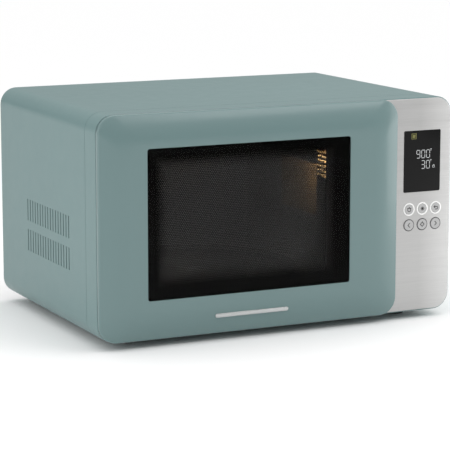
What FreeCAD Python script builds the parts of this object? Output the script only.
"""Countertop microwave oven with a domed, side-hinged door and a push-button control column.

Frame: +Z up, +X to the right as seen from the front, -Y towards the user.
Origin: centre of the footprint, on the surface that the feet stand on.
Units: millimetres. Each sub-part is written to parts/NAME.step.
"""
import math
import os

import FreeCAD
import Part

V = FreeCAD.Vector

# ---------------------------------------------------------------- driving dimensions
WIDTH = 490.0
BODY_HEIGHT = 276.0
FOOT_HEIGHT = 10.0
BODY_DEPTH = 332.5          # front edge of the ring to the back edge of the cabinet
CORNER_R = 22.0
RING_DEPTH = 33.5
RING_WALL = 2.5
SHEET = 1.0                 # cabinet, cavity and bracket sheet metal

DOOR_WIDTH = 408.0
DOOR_CORNER_R = 23.0
DOOR_EDGE = 5.0             # straight part of the door's rim, ahead of the ring's front edge
DOOR_CROWN = 11.5           # rise of the dome from the rim to the flat middle
DOME_BAND = 36.0            # width of the curved band round the door
PLATEAU_R = 30.0
DOOR_GAP = 1.6
SKIN = 2.2

WINDOW_WIDTH, WINDOW_HEIGHT, WINDOW_R = 275.0, 184.5, 3.0
WINDOW_FROM_LEFT, WINDOW_FROM_BOTTOM = 60.0, 50.0
MESH_WIDTH, MESH_HEIGHT = 231.0, 156.0

CAVITY_WIDTH, CAVITY_HEIGHT, CAVITY_DEPTH = 305.0, 212.0, 290.0
PLATE_R = 135.0             # glass turntable
TRACK_R = 90.0              # circle that the rollers run on
ROLLER_R = 7.0

# ---------------------------------------------------------------- derived places
LEFT, RIGHT = -WIDTH / 2, WIDTH / 2
BOTTOM, TOP = FOOT_HEIGHT, FOOT_HEIGHT + BODY_HEIGHT
DEPTH = BODY_DEPTH + DOOR_EDGE + DOOR_CROWN
CROWN_Y = -DEPTH / 2
FRONT_Y = CROWN_Y + DOOR_EDGE + DOOR_CROWN      # front edge of the ring
BACK_Y = DEPTH / 2
SEAM_Y = FRONT_Y + RING_DEPTH
FLANGE_Y = FRONT_Y + 21.0                       # front face of the cavity's front plate
DOOR_RIGHT = LEFT + DOOR_WIDTH
RIM_BACK_Y = FRONT_Y - DOOR_GAP

HINGE_X, HINGE_Y = LEFT + 10.0, FRONT_Y + 14.0
PIN_R = 3.0
RUN = 0.07                  # radial clearance of a running fit
GAP = 0.35                  # clearance between curved faces that don't fit each other
EYE_R, EYE_HEIGHT = 5.5, 14.0
HINGE_Z = (BOTTOM + 30.0, TOP - 30.0)           # middles of the two eyes

BODY_X0, BODY_X1 = HINGE_X + 17.0, DOOR_RIGHT - 29.0   # recessed part of the door
BODY_Z0, BODY_Z1 = BOTTOM + 12.0, TOP - 12.0
WIN_X0 = LEFT + WINDOW_FROM_LEFT
WIN_X1 = WIN_X0 + WINDOW_WIDTH
WIN_Z0 = BOTTOM + WINDOW_FROM_BOTTOM
WIN_Z1 = WIN_Z0 + WINDOW_HEIGHT
MESH_X, MESH_Z = (WIN_X0 + WIN_X1) / 2 - 8.0, (WIN_Z0 + WIN_Z1) / 2 + 1.0
GLASS_T = 4.0
GLASS_Y0 = CROWN_Y + 0.3
GLASS_Y1 = GLASS_Y0 + GLASS_T
FRAME_Y0 = GLASS_Y1 + 4.0                       # front plate of the door's steel frame
COVER_Y0, COVER_Y1 = FLANGE_Y - 5.0, FLANGE_Y - 2.0

CAV_X0, CAV_Z0, CAV_Y0 = LEFT + 48.0, BOTTOM + 30.0, FLANGE_Y + SHEET
CAV_X1, CAV_Z1, CAV_Y1 = CAV_X0 + CAVITY_WIDTH, CAV_Z0 + CAVITY_HEIGHT, CAV_Y0 + CAVITY_DEPTH
TABLE_X, TABLE_Y = (CAV_X0 + CAV_X1) / 2, (CAV_Y0 + CAV_Y1) / 2

PANEL_X0 = BODY_X1 + 4.0                        # left edge of the steel fascia, behind the door's rim
PANEL_T = 1.2
PANEL_INSET = 1.2                               # the ring's front edge shows round the fascia
PANEL_Y0 = FRONT_Y - PANEL_T
DISPLAY_X, DISPLAY_Z = LEFT + 447.2, BOTTOM + 194.4
DISPLAY_W, DISPLAY_H, DISPLAY_R = 53.6, 78.8, 2.0
BUTTON_X, BUTTON_PITCH = LEFT + 448.7, 19.6
BUTTON_ROWS = (("upper", BOTTOM + 133.0, 6.2, 8.4), ("lower", BOTTOM + 112.6, 6.8, 7.9))
BUTTON_NAMES = {"upper": ("menu", "adjust", "back"), "lower": ("previous", "start", "next")}

LATCH_X = BODY_X1 - 11.0
HOOK_Z = (BOTTOM + 78.0, BOTTOM + 200.0)
HOOK_TIP_Y = FLANGE_Y + 22.0

os.makedirs("parts", exist_ok=True)


# ---------------------------------------------------------------- shape helpers
def box(x0, x1, y0, y1, z0, z1):
    return Part.makeBox(x1 - x0, y1 - y0, z1 - z0, V(x0, y0, z0))


def cyl(r, length, x, y, z, axis):
    return Part.makeCylinder(r, length, V(x, y, z), V(*axis))


def ring(r_out, r_in, length, x, y, z, axis):
    return cyl(r_out, length, x, y, z, axis).cut(cyl(r_in, length, x, y, z, axis))


def rounded_wire(x0, x1, z0, z1, r, y):
    """Rounded rectangle in the plane of constant y: four lines and four arcs."""
    edges = []
    corners = ((x1 - r, z1 - r, 0), (x0 + r, z1 - r, 90), (x0 + r, z0 + r, 180), (x1 - r, z0 + r, 270))
    ends = []
    for cx, cz, start in corners:
        pts = [V(cx + r * math.cos(math.radians(start + a)), y, cz + r * math.sin(math.radians(start + a)))
               for a in (0, 45, 90)]
        ends.append(pts)
    for i, pts in enumerate(ends):
        edges.append(Part.Arc(*pts).toShape())
        edges.append(Part.makeLine(pts[2], ends[(i + 1) % 4][0]))
    return Part.Wire(edges)


def rounded_prism(x0, x1, z0, z1, r, y0, y1):
    return Part.Face(rounded_wire(x0, x1, z0, z1, r, y0)).extrude(V(0, y1 - y0, 0))


def body_prism(inset, y0, y1):
    """The oven's rounded outline, drawn in by inset."""
    return rounded_prism(LEFT + inset, RIGHT - inset, BOTTOM + inset, TOP - inset, CORNER_R - inset, y0, y1)


def body_tube(outer_inset, inner_inset, y0, y1):
    return body_prism(outer_inset, y0, y1).cut(body_prism(inner_inset, y0 - 1, y1 + 1))


def frame_ring(x0, x1, z0, z1, margin, y0, y1):
    """A rectangular frame whose sides are margin wide."""
    hole = box(x0 + margin, x1 - margin, y0 - 1, y1 + 1, z0 + margin, z1 - margin)
    return box(x0, x1, y0, y1, z0, z1).cut(hole)


def turned(shape, degrees, x, y, axis=(0, 0, 1), z=0.0):
    copy = shape.copy()
    copy.rotate(V(x, y, z), V(*axis), degrees)
    return copy


def grid(nx, nz, pitch_x, pitch_z):
    """Centred grid offsets."""
    return [((i - (nx - 1) / 2) * pitch_x, (k - (nz - 1) / 2) * pitch_z) for i in range(nx) for k in range(nz)]


def outer_front_edges(solid, y, inset):
    """The edges in the plane y that lie on the oven's outline, drawn in by inset."""
    slack = inset + 0.1
    flat = [e for e in solid.Edges if abs(e.BoundBox.YMin - y) < 1e-6 and abs(e.BoundBox.YMax - y) < 1e-6]
    return [e for e in flat
            if e.BoundBox.XMin < LEFT + slack or e.BoundBox.XMax > RIGHT - slack
            or e.BoundBox.ZMin < BOTTOM + slack or e.BoundBox.ZMax > TOP - slack]


def save(name, *shapes):
    solids = [s for shape in shapes for s in shape.Solids]
    result = solids[0] if len(solids) == 1 else Part.makeCompound(solids)
    result.exportStep(f"parts/{name}.step")
    print(f"{name:24s} solids {len(solids):3d}  volume {result.Volume / 1000:10.3f} cm3  valid {result.isValid()}")


# ---------------------------------------------------------------- outer casing
VENT_PITCH, VENT_COUNT, VENT_W, VENT_H = 9.0, 17, 2.6, 28.2
VENT_Y = FRONT_Y + 161.7
VENT_ROWS = (BOTTOM + 88.9, BOTTOM + 128.5)
BASE_SIDE = 34.0            # the base plate lies between the cabinet's rolled lower edges


def vent_slots(x0, x1, y_middle):
    cutters = []
    for row_z in VENT_ROWS:
        for i in range(VENT_COUNT):
            y = y_middle + (i - (VENT_COUNT - 1) / 2) * VENT_PITCH
            cutters.append(box(x0, x1, y - VENT_W / 2, y + VENT_W / 2, row_z - VENT_H / 2, row_z + VENT_H / 2))
    return cutters


def make_outer_cabinet():
    shell = body_tube(0, SHEET, SEAM_Y + 0.3, BACK_Y)
    underside = box(LEFT + BASE_SIDE, RIGHT - BASE_SIDE, SEAM_Y - 1, BACK_Y + 1, BOTTOM - 1, BOTTOM + SHEET + 1)
    left_vents = vent_slots(LEFT - 1, LEFT + 3, VENT_Y)
    right_vents = vent_slots(RIGHT - 3, RIGHT + 1, VENT_Y)
    save("outer_cabinet", shell.cut([underside] + left_vents + right_vents))


def make_front_ring():
    """Bezel ring round the whole front: wall, tongue into the cabinet, and a flange behind the cavity's plate."""
    wall = body_tube(0, RING_WALL, FRONT_Y, SEAM_Y - 0.3)
    tongue = body_tube(SHEET + 0.3, RING_WALL, SEAM_Y - 0.3, SEAM_Y + 8)
    flange = body_tube(RING_WALL, 8.0, FLANGE_Y + SHEET, FLANGE_Y + SHEET + 2)
    solid = wall.fuse([tongue, flange]).removeSplitter()
    save("front_ring", solid.makeFillet(1.0, outer_front_edges(solid, FRONT_Y, 0)))


FOOT_X, FOOT_FRONT, FOOT_BACK = 190.0, 44.0, 40.0
FOOT_Y = (FRONT_Y + FOOT_FRONT, BACK_Y - FOOT_BACK)
FOOT_HOLE_R = 2.2
FOOT_NAMES = ("front_left", "rear_left", "front_right", "rear_right")


def foot_places():
    return [(sx * FOOT_X, y) for sx in (-1, 1) for y in FOOT_Y]


def make_base_plate():
    plate = box(LEFT + BASE_SIDE + 0.5, RIGHT - BASE_SIDE - 0.5, SEAM_Y + 9, BACK_Y - 4, BOTTOM, BOTTOM + SHEET)
    lip_front = box(LEFT + BASE_SIDE + 0.5, RIGHT - BASE_SIDE - 0.5, SEAM_Y + 9, SEAM_Y + 10, BOTTOM, BOTTOM + 14)
    sides = [box(x, x + 24, SEAM_Y + 12, BACK_Y - 15, BOTTOM + SHEET, BOTTOM + 2 * SHEET)
             for x in (LEFT + 22, RIGHT - 46)]
    holes = [cyl(FOOT_HOLE_R, 18, x, y, BOTTOM - 2, (0, 0, 1)) for x, y in foot_places()]
    holes += [box(150 + 9 * i, 154 + 9 * i, 40, 100, BOTTOM - 1, BOTTOM + 3) for i in range(4)]
    save("base_plate", plate.fuse([lip_front] + sides).removeSplitter().cut(holes))


GLAND_X, GLAND_Z = 205.0, BOTTOM + 34.0
GLAND_BORE_R, GLAND_SEAT_R, GLAND_HEAD_R = 3.75, 7.5, 11.0
REAR_Y0, REAR_Y1 = BACK_Y - 5.0, BACK_Y - 4.0
FAN_X, FAN_Z, FAN_R = 178.0, BOTTOM + 168.0, 44.0


def make_rear_panel():
    panel = body_prism(SHEET + 0.4, REAR_Y0, REAR_Y1)
    rim = body_tube(SHEET + 0.4, SHEET + 1.4, REAR_Y0 - 9, REAR_Y0)
    cut = [cyl(GLAND_SEAT_R + 0.1, 6, GLAND_X, REAR_Y0 - 2, GLAND_Z, (0, 1, 0))]
    for k in range(9):
        z = FAN_Z + (k - 4) * 9.0
        half = math.sqrt(FAN_R ** 2 - (z - FAN_Z) ** 2)
        cut.append(box(FAN_X - half, FAN_X + half, REAR_Y0 - 1, REAR_Y1 + 1, z - 2, z + 2))
    for i in range(12):
        x = LEFT + 60 + i * 9.0
        cut.append(box(x - 1.5, x + 1.5, REAR_Y0 - 1, REAR_Y1 + 1, TOP - 62, TOP - 34))
    save("rear_panel", panel.fuse(rim).removeSplitter().cut(cut))


def make_cord_gland():
    neck = cyl(GLAND_SEAT_R, REAR_Y1 - REAR_Y0 + 0.4, GLAND_X, REAR_Y0 - 0.2, GLAND_Z, (0, 1, 0))
    inner = cyl(GLAND_HEAD_R, 4, GLAND_X, REAR_Y0 - 4.2, GLAND_Z, (0, 1, 0))
    outer = cyl(GLAND_HEAD_R, 2.8, GLAND_X, REAR_Y1 + 0.2, GLAND_Z, (0, 1, 0))
    bore = cyl(GLAND_BORE_R, 20, GLAND_X, REAR_Y0 - 10, GLAND_Z, (0, 1, 0))
    save("cord_gland", neck.fuse([inner, outer]).cut(bore))


def make_feet():
    for name, (x, y) in zip(FOOT_NAMES, foot_places()):
        pad = Part.makeCone(12.0, 15.0, FOOT_HEIGHT, V(x, y, 0), V(0, 0, 1))
        recess = cyl(4.6, 5.0, x, y, 0, (0, 0, 1))
        hole = cyl(FOOT_HOLE_R, FOOT_HEIGHT, x, y, 0, (0, 0, 1))
        save(f"{name}_foot", pad.cut([recess, hole]))


def make_foot_screws():
    screws = []
    for x, y in foot_places():
        head = cyl(3.8, 2.4, x, y, 2.6, (0, 0, 1))
        shank = cyl(1.8, 10.0, x, y, 5.0, (0, 0, 1))
        screws.append(head.fuse(shank))
    save("foot_screws", *screws)


def make_cabinet_screws():
    """Self-tapping screws that hold the rear panel to the cavity and the transformer shelf."""
    places = [(LEFT + 30, TOP - 26), (LEFT + 30, BOTTOM + 26), (RIGHT - 30, TOP - 26), (0, TOP - 16), (0, BOTTOM + 16)]
    screws = []
    for x, z in places:
        head = cyl(3.6, 2.2, x, REAR_Y1, z, (0, 1, 0))
        slot = box(x - 2.4, x + 2.4, REAR_Y1 + 1.4, REAR_Y1 + 3, z - 0.4, z + 0.4)
        cross = box(x - 0.4, x + 0.4, REAR_Y1 + 1.4, REAR_Y1 + 3, z - 2.4, z + 2.4)
        screws.append(head.cut([slot, cross]))
    save("cabinet_screws", *screws)


# ---------------------------------------------------------------- cavity and turntable
LAMP_Y, LAMP_Z = CAV_Y0 + 67.0, CAV_Z1 - 58.0
GUIDE_Y, GUIDE_Z = TABLE_Y - 10.0, CAV_Z0 + 118.0
GUIDE_W, GUIDE_H = 80.0, 50.0       # opening in the cavity's wall, behind the mica sheet


def make_cavity():
    """Box open at the front. The floor has a hole for the drive, the right wall the lamp holes and microwave port."""
    outside = box(CAV_X0 - SHEET, CAV_X1 + SHEET, CAV_Y0, CAV_Y1 + SHEET, CAV_Z0 - SHEET, CAV_Z1 + SHEET)
    inside = box(CAV_X0, CAV_X1, CAV_Y0 - 1, CAV_Y1, CAV_Z0, CAV_Z1)
    cut = [inside, cyl(11.0, 10, TABLE_X, TABLE_Y, CAV_Z0 - 5, (0, 0, 1))]
    for dy, dz in grid(6, 6, 6.0, 6.0):
        cut.append(cyl(1.9, 6, CAV_X1 - 2, LAMP_Y + dy, LAMP_Z + dz, (1, 0, 0)))
    cut.append(box(CAV_X1 - 1, CAV_X1 + 3, GUIDE_Y - GUIDE_W / 2, GUIDE_Y + GUIDE_W / 2,
                   GUIDE_Z - GUIDE_H / 2, GUIDE_Z + GUIDE_H / 2))
    for dy, dz in grid(9, 3, 7.0, 7.0):
        cut.append(cyl(1.9, 6, CAV_X0 - 4, TABLE_Y + 60 + dy, CAV_Z1 - 30 + dz, (1, 0, 0)))
    save("cavity", outside.cut(cut))


SLOT_MARGIN = 1.7


def hook_slot(z, y0, y1):
    return box(LATCH_X - 2 - SLOT_MARGIN, LATCH_X + 2 + SLOT_MARGIN, y0, y1, z - 8, z + 12)


def make_cavity_front_plate():
    plate = body_prism(RING_WALL + 0.5, FLANGE_Y, FLANGE_Y + SHEET)
    cut = [box(CAV_X0, CAV_X1, FLANGE_Y - 1, FLANGE_Y + 3, CAV_Z0, CAV_Z1)]
    cut += [hook_slot(z, FLANGE_Y - 1, FLANGE_Y + 3) for z in HOOK_Z]
    cut.append(rounded_prism(PANEL_X0 + 14, RIGHT - 14, BOTTOM + 60, TOP - 22, 8, FLANGE_Y - 1, FLANGE_Y + 3))
    save("cavity_front_plate", plate.cut(cut))


def make_waveguide():
    x0 = CAV_X1 + SHEET
    y0, y1 = GUIDE_Y - GUIDE_W / 2 - 2, GUIDE_Y + GUIDE_W / 2 + 2
    z0, z1 = GUIDE_Z - GUIDE_H / 2 - 2, GUIDE_Z + GUIDE_H / 2 + 50
    outer = box(x0, x0 + 26, y0, y1, z0, z1)
    inner = box(x0 - 1, x0 + 25, y0 + 1, y1 - 1, z0 + 1, z1 - 1)
    antenna_hole = cyl(13.0, 6, x0 + 22, GUIDE_Y, GUIDE_Z + 48, (1, 0, 0))
    save("waveguide", outer.cut([inner, antenna_hole]))


def make_waveguide_cover():
    y0, y1 = GUIDE_Y - GUIDE_W / 2 - 8, GUIDE_Y + GUIDE_W / 2 + 8
    save("waveguide_cover", box(CAV_X1 - 0.7, CAV_X1 - 0.2, y0, y1, GUIDE_Z - GUIDE_H / 2 - 8, GUIDE_Z + GUIDE_H / 2 + 8))


ROLLER_Z = CAV_Z0 + GAP + ROLLER_R
PLATE_Z0 = ROLLER_Z + ROLLER_R + GAP
PLATE_T = 4.5
COUPLER_TOP = PLATE_Z0
SHAFT_R = 3.5


def make_turntable_motor():
    body = cyl(24.0, 17, TABLE_X, TABLE_Y, CAV_Z0 - SHEET - 18, (0, 0, 1))
    ears = box(TABLE_X - 34, TABLE_X + 34, TABLE_Y - 6, TABLE_Y + 6, CAV_Z0 - SHEET - 2.2, CAV_Z0 - SHEET - 0.2)
    bore = cyl(SHAFT_R + RUN, 12, TABLE_X, TABLE_Y, CAV_Z0 - SHEET - 10, (0, 0, 1))
    terminals = box(TABLE_X + 20, TABLE_X + 31, TABLE_Y - 5, TABLE_Y + 5, CAV_Z0 - SHEET - 14, CAV_Z0 - SHEET - 8)
    save("turntable_motor", body.fuse([ears, terminals]).cut(bore))


def make_turntable_coupler():
    shaft = cyl(SHAFT_R, 12, TABLE_X, TABLE_Y, CAV_Z0 - 10, (0, 0, 1))
    hub = cyl(9.5, COUPLER_TOP - CAV_Z0 - 1, TABLE_X, TABLE_Y, CAV_Z0 + 1, (0, 0, 1))
    arms = []
    for k in range(3):
        arm = box(TABLE_X, TABLE_X + 24, TABLE_Y - 4, TABLE_Y + 4, COUPLER_TOP - 5, COUPLER_TOP)
        arms.append(turned(arm, 120 * k, TABLE_X, TABLE_Y))
    save("turntable_coupler", shaft.fuse([hub] + arms).removeSplitter())


def make_glass_turntable():
    disc = cyl(PLATE_R, PLATE_T, TABLE_X, TABLE_Y, PLATE_Z0, (0, 0, 1))
    rim = ring(PLATE_R, PLATE_R - 5, 8.5, TABLE_X, TABLE_Y, PLATE_Z0, (0, 0, 1))
    lugs = []
    for k in range(3):
        lug = Part.makeCylinder(4.0, 4.0, V(TABLE_X + 21, TABLE_Y + 10, PLATE_Z0 - 4.0), V(0, 0, 1))
        lugs.append(turned(lug, 120 * k, TABLE_X, TABLE_Y))
    save("glass_turntable", disc.fuse([rim] + lugs).removeSplitter())


def make_roller_ring():
    """Ring with three radial stub axles that the rollers turn on."""
    band = ring(TRACK_R - 8, TRACK_R - 13, 6, TABLE_X, TABLE_Y, ROLLER_Z - 3, (0, 0, 1))
    axles = []
    for k in range(3):
        axle = cyl(1.8, 21, TABLE_X + TRACK_R - 10, TABLE_Y, ROLLER_Z, (1, 0, 0))
        collar = cyl(3.2, 2, TABLE_X + TRACK_R + 4.6, TABLE_Y, ROLLER_Z, (1, 0, 0))
        axles += [turned(s, 120 * k, TABLE_X, TABLE_Y) for s in (axle, collar)]
    save("roller_ring", band.fuse(axles).removeSplitter())


def make_rollers():
    for k in range(3):
        wheel = ring(ROLLER_R, 1.8 + RUN, 7.5, TABLE_X + TRACK_R - 3.5, TABLE_Y, ROLLER_Z, (1, 0, 0))
        wheel = wheel.cut(ring(ROLLER_R - 1.5, 3.4, 1.0, TABLE_X + TRACK_R + 3.2, TABLE_Y, ROLLER_Z, (1, 0, 0)))
        save(f"roller_{k + 1}", turned(wheel, 120 * k, TABLE_X, TABLE_Y))


# ---------------------------------------------------------------- microwave and cooling parts
MAG_X, MAG_Y, MAG_Z = CAV_X1 + SHEET + 27.0, GUIDE_Y, GUIDE_Z + 48.0


def make_magnetron():
    """The tube lies along X: antenna into the waveguide, yoke box, fins, then the filter box."""
    yoke = frame_ring(MAG_X + 1, MAG_X + 53, MAG_Z - 38, MAG_Z + 38, 1.6, MAG_Y - 32, MAG_Y + 32)
    holes = [cyl(19.2, 6, MAG_X - 1, MAG_Y, MAG_Z, (1, 0, 0)), cyl(19.2, 6, MAG_X + 50, MAG_Y, MAG_Z, (1, 0, 0))]
    save("magnetron_yoke", yoke.cut(holes))
    core = cyl(16.0, 51.6, MAG_X + 1, MAG_Y, MAG_Z, (1, 0, 0))
    antenna = cyl(7.5, 20, MAG_X - 19, MAG_Y, MAG_Z, (1, 0, 0))
    fins = [box(MAG_X + 14 + 5 * i, MAG_X + 14.7 + 5 * i, MAG_Y - 30, MAG_Y + 30, MAG_Z - 30, MAG_Z + 30)
            for i in range(6)]
    save("magnetron_core", core.fuse([antenna] + fins).removeSplitter())
    box_shape = box(MAG_X + 53.2, MAG_X + 83, MAG_Y - 26, MAG_Y + 26, MAG_Z - 22, MAG_Z + 22)
    inner = box(MAG_X + 54.2, MAG_X + 82, MAG_Y - 25, MAG_Y + 25, MAG_Z - 21, MAG_Z + 21)
    plug = box(MAG_X + 60, MAG_X + 76, MAG_Y - 10, MAG_Y + 10, MAG_Z - 33, MAG_Z - 22)
    save("magnetron_filter_box", box_shape.cut(inner).fuse(plug))


TRANS_X, TRANS_Y, TRANS_Z = 180.0, -72.0, BOTTOM + 2 * SHEET + 0.2


def make_transformer():
    core = box(TRANS_X - 42, TRANS_X + 42, TRANS_Y - 32, TRANS_Y + 32, TRANS_Z, TRANS_Z + 70)
    slots = [box(TRANS_X - 27, TRANS_X - 13, TRANS_Y - 33, TRANS_Y + 33, TRANS_Z + 14, TRANS_Z + 56),
             box(TRANS_X + 13, TRANS_X + 27, TRANS_Y - 33, TRANS_Y + 33, TRANS_Z + 14, TRANS_Z + 56)]
    foot = box(TRANS_X - 47, TRANS_X + 47, TRANS_Y - 32, TRANS_Y + 32, TRANS_Z, TRANS_Z + 2)
    save("transformer_core", core.cut(slots).fuse(foot).removeSplitter())
    coils = []
    for z0, z1 in ((TRANS_Z + 14.5, TRANS_Z + 33), (TRANS_Z + 36, TRANS_Z + 55.5)):
        outer = box(TRANS_X - 26.5, TRANS_X + 26.5, TRANS_Y - 46, TRANS_Y + 46, z0, z1)
        inner = box(TRANS_X - 13.2, TRANS_X + 13.2, TRANS_Y - 32.2, TRANS_Y + 32.2, z0 - 1, z1 + 1)
        coils.append(outer.cut(inner))
    save("transformer_windings", *coils)


def make_capacitor():
    x, y, z = 196.0, 30.0, BOTTOM + 2 * SHEET
    can = rounded_prism(x - 17, x + 17, z + 2, z + 54, 16.9, y - 46, y + 46)
    foot = box(x - 28, x + 28, y - 12, y + 12, z, z + 2.6)
    terminals = [box(x - 8 + 12 * i, x - 5 + 12 * i, y - 52, y - 46, z + 25, z + 32) for i in range(2)]
    save("high_voltage_capacitor", can.fuse([foot] + terminals))


def make_lamp():
    x0 = CAV_X1 + SHEET
    bulb = cyl(9.0, 20, x0 + 6, LAMP_Y, LAMP_Z, (1, 0, 0))
    tip = Part.makeSphere(9.0, V(x0 + 12, LAMP_Y, LAMP_Z))
    glass = bulb.common(box(x0 + 12, x0 + 40, LAMP_Y - 20, LAMP_Y + 20, LAMP_Z - 20, LAMP_Z + 20)).fuse(tip)
    save("lamp_bulb", glass.removeSplitter())
    cup = box(x0 + 0.2, x0 + 36, LAMP_Y - 21, LAMP_Y + 21, LAMP_Z - 21, LAMP_Z + 21)
    hollow = box(x0 - 1, x0 + 26.2, LAMP_Y - 19.5, LAMP_Y + 19.5, LAMP_Z - 19.5, LAMP_Z + 19.5)
    save("lamp_housing", cup.cut(hollow))


FAN_Y0 = REAR_Y0 - 32.0


def make_fan():
    """Cooling fan behind the rear grille: shroud, motor on three arms, and the blade that spins along Y."""
    shroud = ring(FAN_R + 4, FAN_R + 2, 26, FAN_X, FAN_Y0 + 4, FAN_Z, (0, 1, 0))
    flange = box(FAN_X - 50, FAN_X + 50, REAR_Y0 - 2.2, REAR_Y0 - 0.2, FAN_Z - 50, FAN_Z + 50)
    flange = flange.cut(cyl(FAN_R + 2, 6, FAN_X, REAR_Y0 - 4, FAN_Z, (0, 1, 0)))
    arms = []
    for k in range(3):
        arm = box(FAN_X + 10, FAN_X + FAN_R + 3, FAN_Y0 + 4, FAN_Y0 + 7, FAN_Z - 3, FAN_Z + 3)
        arms.append(turned(arm, 90 + 120 * k, FAN_X, FAN_Y0, (0, 1, 0), FAN_Z))
    hub = ring(13, 3.4, 3, FAN_X, FAN_Y0 + 4, FAN_Z, (0, 1, 0))
    save("fan_shroud", shroud.fuse([flange, hub] + arms).removeSplitter())
    stack = box(FAN_X - 22, FAN_X + 22, FAN_Y0 - 20, FAN_Y0 - 4, FAN_Z - 20, FAN_Z + 30)
    caps = [box(FAN_X - 18, FAN_X + 18, FAN_Y0 - 24, FAN_Y0 - 20, FAN_Z - 7, FAN_Z + 7),
            box(FAN_X - 18, FAN_X + 18, FAN_Y0 - 4, FAN_Y0 + 3.8, FAN_Z - 7, FAN_Z + 7)]
    bore = cyl(3.0 + RUN, 40, FAN_X, FAN_Y0 - 30, FAN_Z, (0, 1, 0))
    save("fan_motor", stack.fuse(caps).cut(bore))
    blade_hub = cyl(11, 12, FAN_X, FAN_Y0 + 8, FAN_Z, (0, 1, 0))
    shaft = cyl(3.0, 36, FAN_X, FAN_Y0 - 22, FAN_Z, (0, 1, 0))
    blades = []
    for k in range(5):
        vane = box(FAN_X + 9, FAN_X + FAN_R - 1, FAN_Y0 + 13.2, FAN_Y0 + 14.8, FAN_Z - 11, FAN_Z + 11)
        vane.rotate(V(FAN_X, FAN_Y0 + 14, FAN_Z), V(1, 0, 0), 28)
        blades.append(turned(vane, 72 * k, FAN_X, FAN_Y0, (0, 1, 0), FAN_Z))
    tip = cyl(FAN_R - 1, 40, FAN_X, FAN_Y0 - 5, FAN_Z, (0, 1, 0))
    save("fan_blade", blade_hub.fuse([shaft] + [b.common(tip) for b in blades]).removeSplitter())


# ---------------------------------------------------------------- control column
def fascia_outline(inset, y0, y1, x_left):
    shape = body_prism(inset, y0, y1)
    return shape.common(box(x_left, RIGHT + 1, y0 - 1, y1 + 1, BOTTOM - 1, TOP + 1))


def display_hole(grow, y0, y1):
    """The display's outline, let out by grow."""
    return rounded_prism(DISPLAY_X - DISPLAY_W / 2 - grow, DISPLAY_X + DISPLAY_W / 2 + grow,
                         DISPLAY_Z - DISPLAY_H / 2 - grow, DISPLAY_Z + DISPLAY_H / 2 + grow, DISPLAY_R, y0, y1)


def buttons():
    """(name, row, x, z, cap radius, ring radius) of each button."""
    for row, z, cap_r, ring_r in BUTTON_ROWS:
        for i, name in enumerate(BUTTON_NAMES[row]):
            yield name, row, BUTTON_X + (i - 1) * BUTTON_PITCH, z, cap_r, ring_r


def make_control_fascia():
    plate = fascia_outline(PANEL_INSET, PANEL_Y0, FRONT_Y, PANEL_X0)
    cut = [display_hole(0.15, PANEL_Y0 - 1, FRONT_Y + 1)]
    cut += [cyl(ring_r, 4, x, PANEL_Y0 - 1, z, (0, 1, 0)) for _, _, x, z, _, ring_r in buttons()]
    plate = plate.cut(cut)
    save("control_fascia", plate.makeFillet(0.9, outer_front_edges(plate, PANEL_Y0, PANEL_INSET)))


HOUSING_Y0, HOUSING_Y1 = FRONT_Y, FLANGE_Y - 0.3
BOARD_Y0 = FRONT_Y + 9.0
STEM_R = 2.6
POCKET = 1.1                # recess round each button in the housing's front wall


def make_control_housing():
    """Moulded carrier behind the fascia: a tray whose front wall guides the buttons and holds the display."""
    outer = fascia_outline(RING_WALL + 0.4, HOUSING_Y0, HOUSING_Y1, PANEL_X0 + 0.5)
    inner = fascia_outline(RING_WALL + 2.4, HOUSING_Y0 + 2.2, HOUSING_Y1 + 1, PANEL_X0 + 2.5)
    cut = [display_hole(-3, HOUSING_Y0 - 1, HOUSING_Y0 + 4)]
    cut += [cyl(ring_r, POCKET, x, HOUSING_Y0, z, (0, 1, 0)) for _, _, x, z, _, ring_r in buttons()]
    cut += [cyl(STEM_R + RUN, 4, x, HOUSING_Y0 - 0.5, z, (0, 1, 0)) for _, _, x, z, _, _ in buttons()]
    posts = [cyl(3.0, 5.8, x, HOUSING_Y0 + 2, z, (0, 1, 0)) for x in (DISPLAY_X - 32, DISPLAY_X + 30)
             for z in (BOTTOM + 96, BOTTOM + 238)]
    save("control_housing", outer.cut([inner] + cut).fuse(posts).removeSplitter())


def make_display():
    lens = display_hole(0, PANEL_Y0 - 0.3, FRONT_Y)
    save("display_lens", lens)


def make_button_rings():
    """Trim rings round the caps, one group per row."""
    groups = {"upper": [], "lower": []}
    for _, row, x, z, cap_r, ring_r in buttons():
        trim = ring(ring_r - 0.1, cap_r + GAP, PANEL_T + POCKET + 0.4, x, PANEL_Y0 - 0.4, z, (0, 1, 0))
        groups[row].append(trim)
    for row, rings in groups.items():
        save(f"{row}_button_rings", *rings)


BUTTON_TRAVEL = 1.2


def make_buttons():
    for name, _, x, z, cap_r, _ in buttons():
        cap = cyl(cap_r, 1.5, x, PANEL_Y0 - 0.8, z, (0, 1, 0))
        front = [e for e in cap.Edges if abs(e.BoundBox.YMax - (PANEL_Y0 - 0.8)) < 1e-6]
        cap = cap.makeFillet(0.35, front)
        stem = cyl(STEM_R, BOARD_Y0 - PANEL_Y0 - 3.5, x, PANEL_Y0 + 0.4, z, (0, 1, 0))
        save(f"{name}_button", cap.fuse(stem).removeSplitter())


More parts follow.
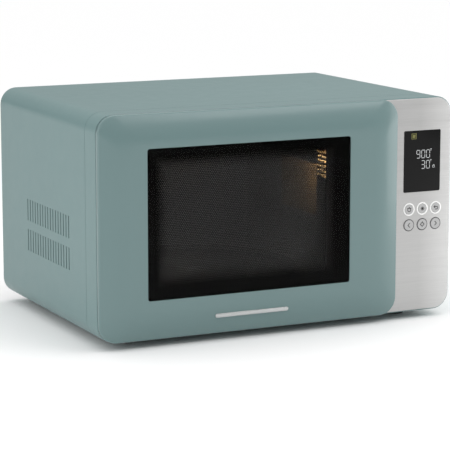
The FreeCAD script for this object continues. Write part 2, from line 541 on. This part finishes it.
def make_control_board():
    board = box(DISPLAY_X - 38, DISPLAY_X + 34, BOARD_Y0, BOARD_Y0 + 1.6, BOTTOM + 88, BOTTOM + 246)
    switches = [box(x - 3, x + 3, BOARD_Y0 - 1.5, BOARD_Y0, z - 3, z + 3) for _, _, x, z, _, _ in buttons()]
    display = box(DISPLAY_X - 22, DISPLAY_X + 22, FRONT_Y + 0.4, BOARD_Y0, DISPLAY_Z - 34, DISPLAY_Z + 34)
    relays = [box(DISPLAY_X - 30 + 22 * i, DISPLAY_X - 12 + 22 * i, BOARD_Y0 + 1.6, BOARD_Y0 + 9.5,
                  BOTTOM + 190, BOTTOM + 216) for i in range(3)]
    chip = box(DISPLAY_X - 8, DISPLAY_X + 8, BOARD_Y0 + 1.6, BOARD_Y0 + 4, BOTTOM + 150, BOTTOM + 166)
    supply = box(DISPLAY_X - 30, DISPLAY_X - 4, BOARD_Y0 + 1.6, BOARD_Y0 + 9.5, BOTTOM + 96, BOTTOM + 118)
    save("control_board", board.fuse(switches + relays + [display, chip, supply]).removeSplitter())


# ---------------------------------------------------------------- interlock
SWITCH_Y0 = HOOK_TIP_Y + 3.0
SWITCH_Z = (HOOK_Z[0] - 10, HOOK_Z[1] - 10)
PLUNGER_R = 1.3
PLUNGER_TRAVEL = 1.5


def make_latch_board():
    """Moulded bracket behind the cavity's front plate. It holds the switches and guides the hooks."""
    x0, x1 = LATCH_X - 9, LATCH_X + 11
    z0, z1 = HOOK_Z[0] - 18, HOOK_Z[1] + 20
    y0 = FLANGE_Y + SHEET + 2.1
    walls = box(x0, x1, y0, SWITCH_Y0 + 18, z0, z1)
    inner = box(x0 + 1.8, x1 - 1.8, y0 + 2.2, SWITCH_Y0 + 17, z0 + 1.8, z1 - 1.8)
    cut = [inner] + [hook_slot(z, y0 - 1, y0 + 4) for z in HOOK_Z]
    windows = [box(x0 - 1, x1 + 1, y0 + 6, SWITCH_Y0 + 12, z, z + 22) for z in (HOOK_Z[0] + 46, HOOK_Z[0] + 76)]
    save("latch_board", walls.cut(cut + windows))


def make_interlock():
    """A microswitch behind each hook, with its plunger."""
    bodies = []
    for name, z in zip(("lower", "upper"), SWITCH_Z):
        body = box(LATCH_X - 5, LATCH_X + 5, SWITCH_Y0, SWITCH_Y0 + 16, z, z + 20)
        hole = cyl(PLUNGER_R + RUN, 7, LATCH_X, SWITCH_Y0, z + 12, (0, 1, 0))
        bodies.append(body.cut(hole))
        save(f"{name}_plunger", cyl(PLUNGER_R, 6.0, LATCH_X, SWITCH_Y0 - 2.4, z + 12, (0, 1, 0)))
    save("interlock_switches", *bodies)


# ---------------------------------------------------------------- door
def dome(extra, y_shift, r_shift):
    """Solid dome of the door. extra draws the outline in; y_shift moves the surface back."""
    sections = []
    for degrees in (0, 15, 30, 45, 60, 75, 90):
        t = math.radians(degrees)
        share = 1 - math.cos(t)
        inset = extra + (DOME_BAND - extra) * share
        y = FRONT_Y - DOOR_EDGE - (DOOR_CROWN - y_shift) * math.sin(t)
        r = DOOR_CORNER_R - r_shift + (PLATEAU_R - DOOR_CORNER_R + r_shift) * share
        sections.append(rounded_wire(LEFT + inset, DOOR_RIGHT - inset, BOTTOM + inset, TOP - inset, r, y))
    return Part.makeLoft(sections, True, False)


def door_prism(inset, y0, y1):
    return rounded_prism(LEFT + inset, DOOR_RIGHT - inset, BOTTOM + inset, TOP - inset, DOOR_CORNER_R - inset, y0, y1)


def make_door_skin():
    outer = door_prism(0, FRONT_Y - DOOR_EDGE, RIM_BACK_Y).fuse(dome(0, 0, 0))
    inner = door_prism(SKIN, FRONT_Y - DOOR_EDGE, RIM_BACK_Y + 1).fuse(dome(SKIN, SKIN, SKIN))
    window = rounded_prism(WIN_X0, WIN_X1, WIN_Z0, WIN_Z1, WINDOW_R, CROWN_Y - 1, CROWN_Y + 10)
    skin = outer.cut([inner, window])
    bosses = [cyl(4.0, FRAME_Y0 - CROWN_Y - 1.8, x, CROWN_Y + 1.8, z, (0, 1, 0))
              for x in (BODY_X0 + 12, BODY_X1 - 12) for z in (BODY_Z0 + 14, BODY_Z1 - 14)]
    save("door_skin", skin.fuse(bosses))


def make_door_glass():
    save("door_glass", rounded_prism(WIN_X0 + 0.25, WIN_X1 - 0.25, WIN_Z0 + 0.25, WIN_Z1 - 0.25,
                                     WINDOW_R - 0.25, GLASS_Y0, GLASS_Y1))


CHOKE = 24.0


def make_door_frame():
    """Pressed steel frame: front plate with the screen's opening, outer wall, and the choke's inner wall."""
    front = box(BODY_X0, BODY_X1, FRAME_Y0, FRAME_Y0 + SHEET, BODY_Z0, BODY_Z1)
    opening = box(MESH_X - MESH_WIDTH / 2, MESH_X + MESH_WIDTH / 2, FRAME_Y0 - 1, FRAME_Y0 + 3,
                  MESH_Z - MESH_HEIGHT / 2, MESH_Z + MESH_HEIGHT / 2)
    wall = frame_ring(BODY_X0, BODY_X1, BODY_Z0, BODY_Z1, 1.2, FRAME_Y0 + SHEET, COVER_Y0)
    inner = frame_ring(BODY_X0 + CHOKE, BODY_X1 - CHOKE, BODY_Z0 + CHOKE, BODY_Z1 - CHOKE, 1.2,
                       FRAME_Y0 + SHEET, COVER_Y0 - 3.5)
    save("door_frame", front.cut(opening).fuse([wall, inner]).removeSplitter())


def make_door_screen():
    save("door_screen", box(MESH_X - MESH_WIDTH / 2 - 4, MESH_X + MESH_WIDTH / 2 + 4, FRAME_Y0 + SHEET, FRAME_Y0 + 1.6,
                            MESH_Z - MESH_HEIGHT / 2 - 4, MESH_Z + MESH_HEIGHT / 2 + 4))
    save("inner_glass", box(BODY_X0 + CHOKE - 3, BODY_X1 - CHOKE + 3, COVER_Y0 - 3.2, COVER_Y0 - 0.2,
                            BODY_Z0 + CHOKE - 3, BODY_Z1 - CHOKE + 3))


def make_choke_cover():
    cover = frame_ring(BODY_X0, BODY_X1, BODY_Z0, BODY_Z1, CHOKE + 8, COVER_Y0, COVER_Y1)
    save("choke_cover", cover.cut([hook_slot(z, COVER_Y0 - 1, COVER_Y1 + 1) for z in HOOK_Z]))


def make_hinge_arms():
    """Door side of the hinges: two eyes on arms screwed to the frame's left wall."""
    arms = []
    for z in HINGE_Z:
        z0 = z - EYE_HEIGHT / 2
        eye = cyl(EYE_R, EYE_HEIGHT, HINGE_X, HINGE_Y, z0, (0, 0, 1))
        arm = box(HINGE_X, BODY_X0, HINGE_Y - 2.5, HINGE_Y + 2.5, z0, z0 + EYE_HEIGHT)
        pad = box(BODY_X0 - 1, BODY_X0, HINGE_Y - 4, HINGE_Y + 3, z0 - 4, z0 + EYE_HEIGHT + 4)
        bore = cyl(PIN_R + RUN, EYE_HEIGHT + 2, HINGE_X, HINGE_Y, z0 - 1, (0, 0, 1))
        arms.append(eye.fuse([arm, pad]).cut(bore))
    save("door_hinge_arms", *arms)


def make_hinges():
    """Body side of the hinges: a bracket on the cavity's front plate, with a fixed pin into each eye."""
    for name, z, side in (("lower", HINGE_Z[0], -1), ("upper", HINGE_Z[1], 1)):
        face = z + side * (EYE_HEIGHT / 2 + 0.4)
        z0, z1 = sorted((face, face + side * 3.0))
        leaf = box(HINGE_X - 5, HINGE_X + 12, HINGE_Y - 5, FLANGE_Y, z0, z1)
        back0, back1 = sorted((face, face + side * 13.0))
        back = box(HINGE_X, HINGE_X + 14, FLANGE_Y - 1.1, FLANGE_Y, back0, back1)
        tip = face - side * (EYE_HEIGHT - 1)
        pin0, pin1 = sorted((tip, face + side * 3.0))
        pin = cyl(PIN_R, pin1 - pin0, HINGE_X, HINGE_Y, pin0, (0, 0, 1))
        save(f"{name}_hinge", leaf.fuse([back, pin]).removeSplitter())


LATCH_TRAVEL = 3.0
BAR_Y0, BAR_Y1 = FRAME_Y0 + 4.0, FRAME_Y0 + 12.0


def make_door_latch():
    """Two hooks on one sliding bar, inside the choke channel at the door's free side."""
    bar = box(LATCH_X - 3, LATCH_X + 3, BAR_Y0, BAR_Y1, HOOK_Z[0] - 8, HOOK_Z[1] + 9)
    hooks = []
    for z in HOOK_Z:
        arm = box(LATCH_X - 2, LATCH_X + 2, BAR_Y1 - 1, HOOK_TIP_Y, z - 2, z + 5)
        barb = box(LATCH_X - 2, LATCH_X + 2, HOOK_TIP_Y - 7, HOOK_TIP_Y, z - 5, z - 2)
        bevel = box(-4, 4, -6, 6, -12, 0)
        bevel.rotate(V(0, 0, 0), V(1, 0, 0), -35)
        bevel.translate(V(LATCH_X, HOOK_TIP_Y + 3.2, z - 5))
        hooks.append(arm.fuse(barb.cut(bevel)))
    save("door_latch", bar.fuse(hooks).removeSplitter())


BADGE_LENGTH, BADGE_HEIGHT = 100.0, 5.0


def make_badge():
    x, z = LEFT + 199.0, BOTTOM + 24.0
    bar = rounded_prism(x - BADGE_LENGTH / 2, x + BADGE_LENGTH / 2, z - BADGE_HEIGHT / 2, z + BADGE_HEIGHT / 2,
                        BADGE_HEIGHT / 2 - 0.01, CROWN_Y, CROWN_Y + 3.0)
    save("blank_badge", bar.cut(dome(0, 0, 0)))


# ---------------------------------------------------------------- build
for make in (make_outer_cabinet, make_front_ring, make_base_plate, make_rear_panel, make_cord_gland, make_feet,
             make_foot_screws, make_cabinet_screws, make_cavity, make_cavity_front_plate, make_waveguide,
             make_waveguide_cover, make_turntable_motor, make_turntable_coupler, make_glass_turntable,
             make_roller_ring, make_rollers, make_magnetron, make_transformer, make_capacitor, make_lamp, make_fan,
             make_control_fascia, make_control_housing, make_display, make_button_rings, make_buttons,
             make_control_board, make_latch_board, make_interlock, make_door_skin, make_door_glass,
             make_door_frame, make_door_screen, make_choke_cover, make_hinge_arms, make_hinges, make_door_latch,
             make_badge):
    make()
